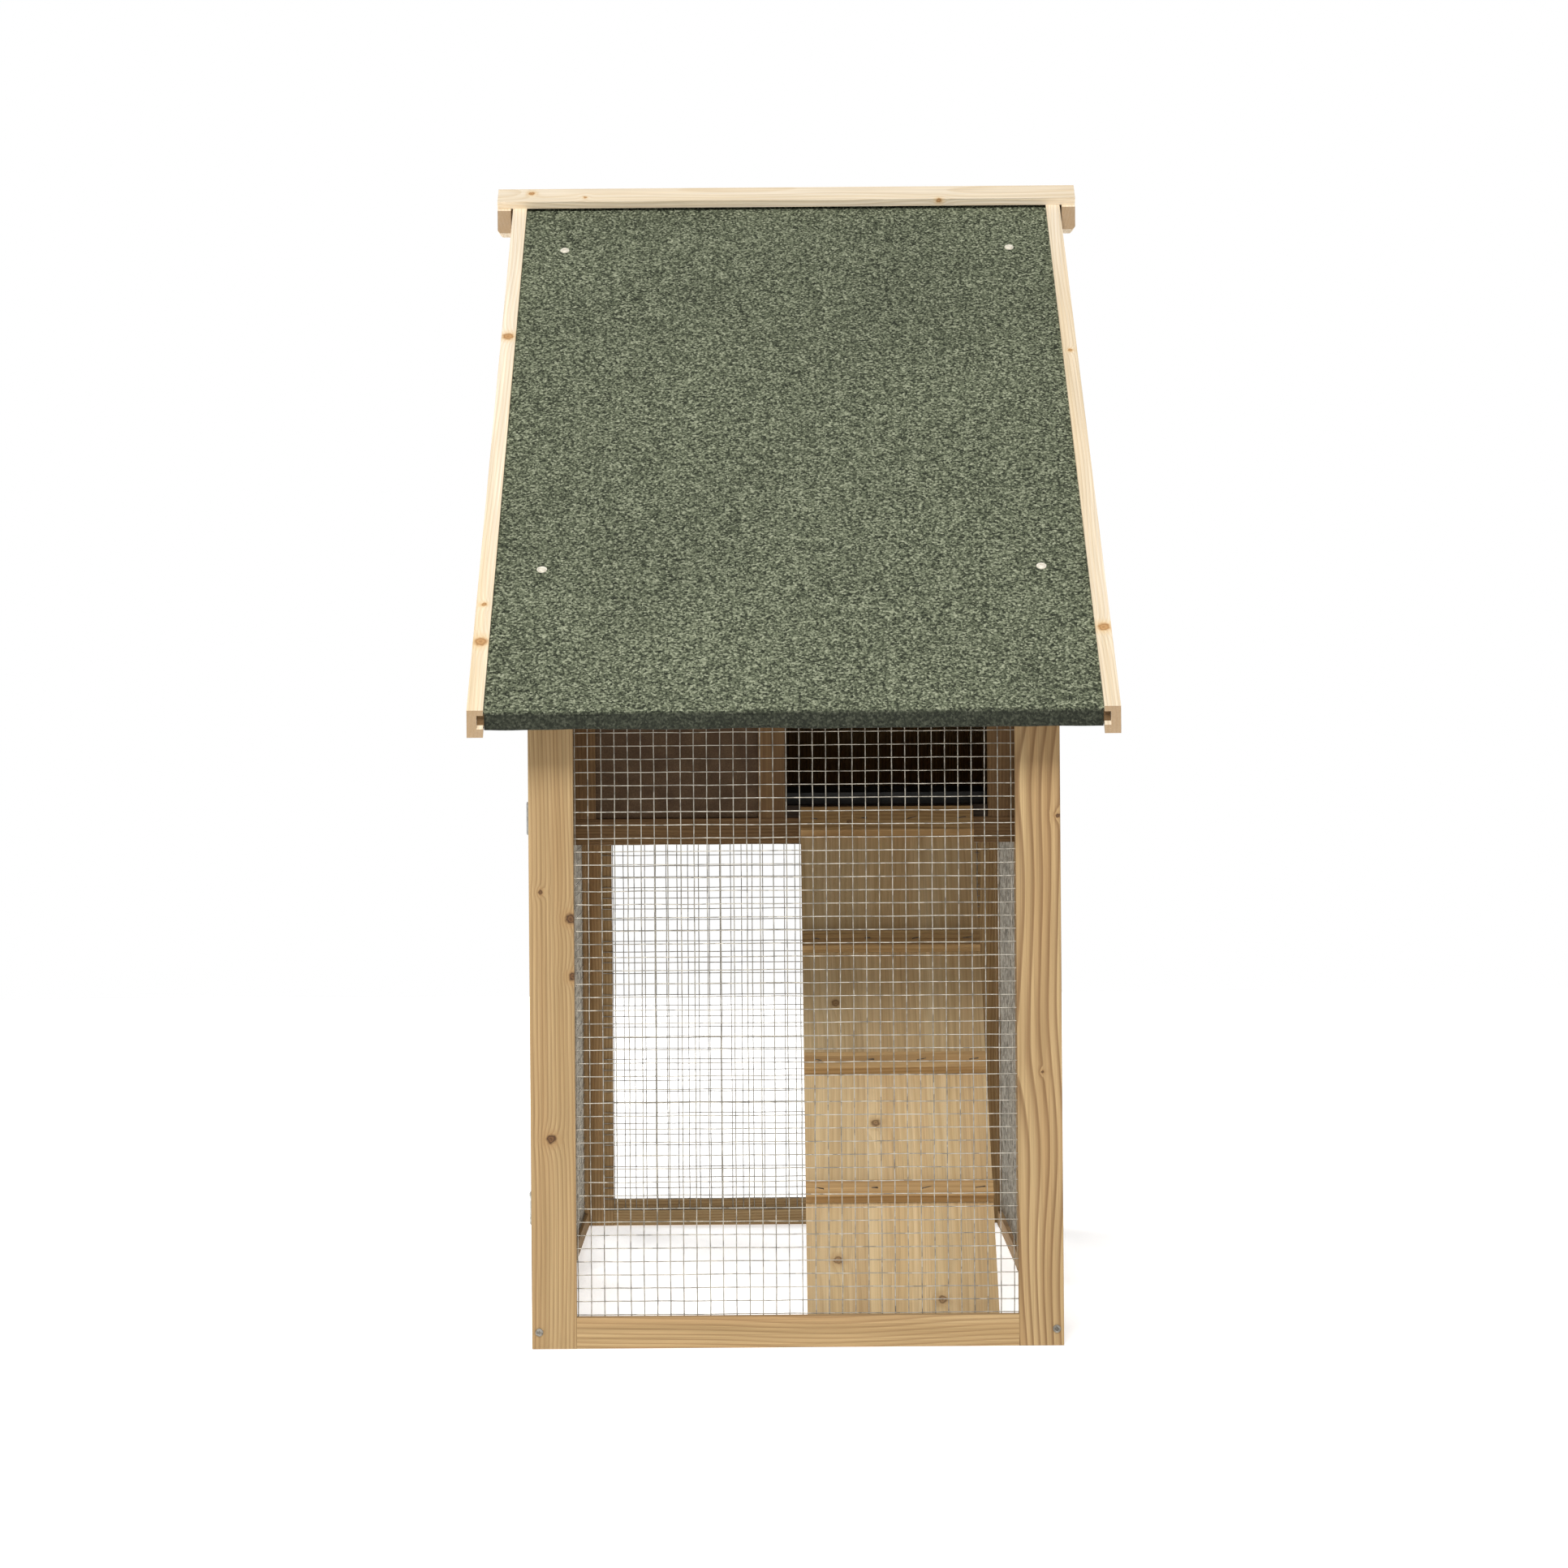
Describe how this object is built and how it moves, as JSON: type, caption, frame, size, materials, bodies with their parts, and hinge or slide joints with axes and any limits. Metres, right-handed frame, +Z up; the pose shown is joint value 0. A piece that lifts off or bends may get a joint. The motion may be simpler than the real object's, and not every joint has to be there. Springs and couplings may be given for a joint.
{
  "type": "rabbit hutch",
  "caption": "Two-storey wooden rabbit hutch with a mesh run, an upper house reached by a cleated ramp, side doors, a pull-out tray and a long felted roof slope.",
  "frame": {"origin": "on the ground under the middle of the roof", "axes": "+Z up, the run end faces -Y, the doors face -X"},
  "size_m": [0.654, 0.982, 1.2036],
  "materials": {
    "pine": "planed softwood, oiled",
    "pale_pine": "planed softwood, bare",
    "roof_felt": "green mineral felt",
    "galvanised_mesh": "galvanised welded wire",
    "zinc_steel": "zinc plated",
    "tray_steel": "black enamelled sheet"
  },
  "bodies": {
    "hutch": {"door_side_gable_boards": "pine", "door_side_lower_mesh": "galvanised_mesh", "door_side_posts": "pine", "door_side_rails": "pine", "door_side_rake_rails": "pine", "door_side_run_mesh": "galvanised_mesh", "felt_long": "roof_felt", "felt_short": "roof_felt", "floor_runners": "pine", "frame_screws": "zinc_steel", "hinge_pins": "zinc_steel", "hinge_post_leaves": "zinc_steel", "house_end_boards": "pine", "house_end_mesh": "galvanised_mesh", "house_end_rails": "pine", "house_end_stiles": "pine", "house_floor": "pine", "latch_keepers": "zinc_steel", "plain_side_boards": "pine", "plain_side_lower_mesh": "galvanised_mesh", "plain_side_posts": "pine", "plain_side_rails": "pine", "plain_side_rake_rails": "pine", "plain_side_run_mesh": "galvanised_mesh", "ramp_board": "pine", "ramp_cleats": "pine", "ramp_top_cleat": "pine", "ridge_board_long": "pale_pine", "ridge_board_short": "pale_pine", "ridge_end_blocks": "pale_pine", "roof_board_long": "pine", "roof_board_short": "pine", "roof_screws": "zinc_steel", "roof_trims_long": "pale_pine", "roof_trims_short": "pale_pine", "run_end_bottom_rail": "pine", "run_end_mesh": "galvanised_mesh", "run_end_stile_left": "pine", "run_end_stile_right": "pine", "run_end_top_rail": "pine", "wall_divider": "pine", "wall_panel": "pine", "wall_rails": "pine", "wall_stiles": "pine", "wall_top_panel": "pine"},
    "run_door": {"run_door_stiles": "pine", "run_door_rails": "pine", "run_door_mesh": "galvanised_mesh", "run_hinge_door_leaves": "zinc_steel", "run_latch_barrel": "zinc_steel"},
    "run_bolt": {"run_latch_bolt": "zinc_steel"},
    "house_door": {"house_door_boards": "pine", "house_door_ledges": "pine", "house_hinge_door_leaves": "zinc_steel", "house_latch_barrel": "zinc_steel"},
    "house_bolt": {"house_latch_bolt": "zinc_steel"},
    "tray": {"tray_pan": "tray_steel", "tray_front": "pine"}
  },
  "joints": [
    {"name": "run_door_swing", "type": "hinge", "parent": "hutch", "child": "run_door", "pos_m": [-0.2576, -0.3855, 0.3], "axis": [0, 0, 1], "range_deg": [0, 110]},
    {"name": "house_door_swing", "type": "hinge", "parent": "hutch", "child": "house_door", "pos_m": [-0.2576, 0.3855, 0.73], "axis": [0, 0, -1], "range_deg": [0, 110]},
    {"name": "run_bolt_slide", "type": "slide", "parent": "run_door", "child": "run_bolt", "axis": [0, 1, 0], "range_m": [0, 0.018]},
    {"name": "house_bolt_slide", "type": "slide", "parent": "house_door", "child": "house_bolt", "axis": [0, -1, 0], "range_m": [0, 0.018]},
    {"name": "tray_slide", "type": "slide", "parent": "hutch", "child": "tray", "axis": [-1, 0, 0], "range_m": [0, 0.4]}
  ]
}
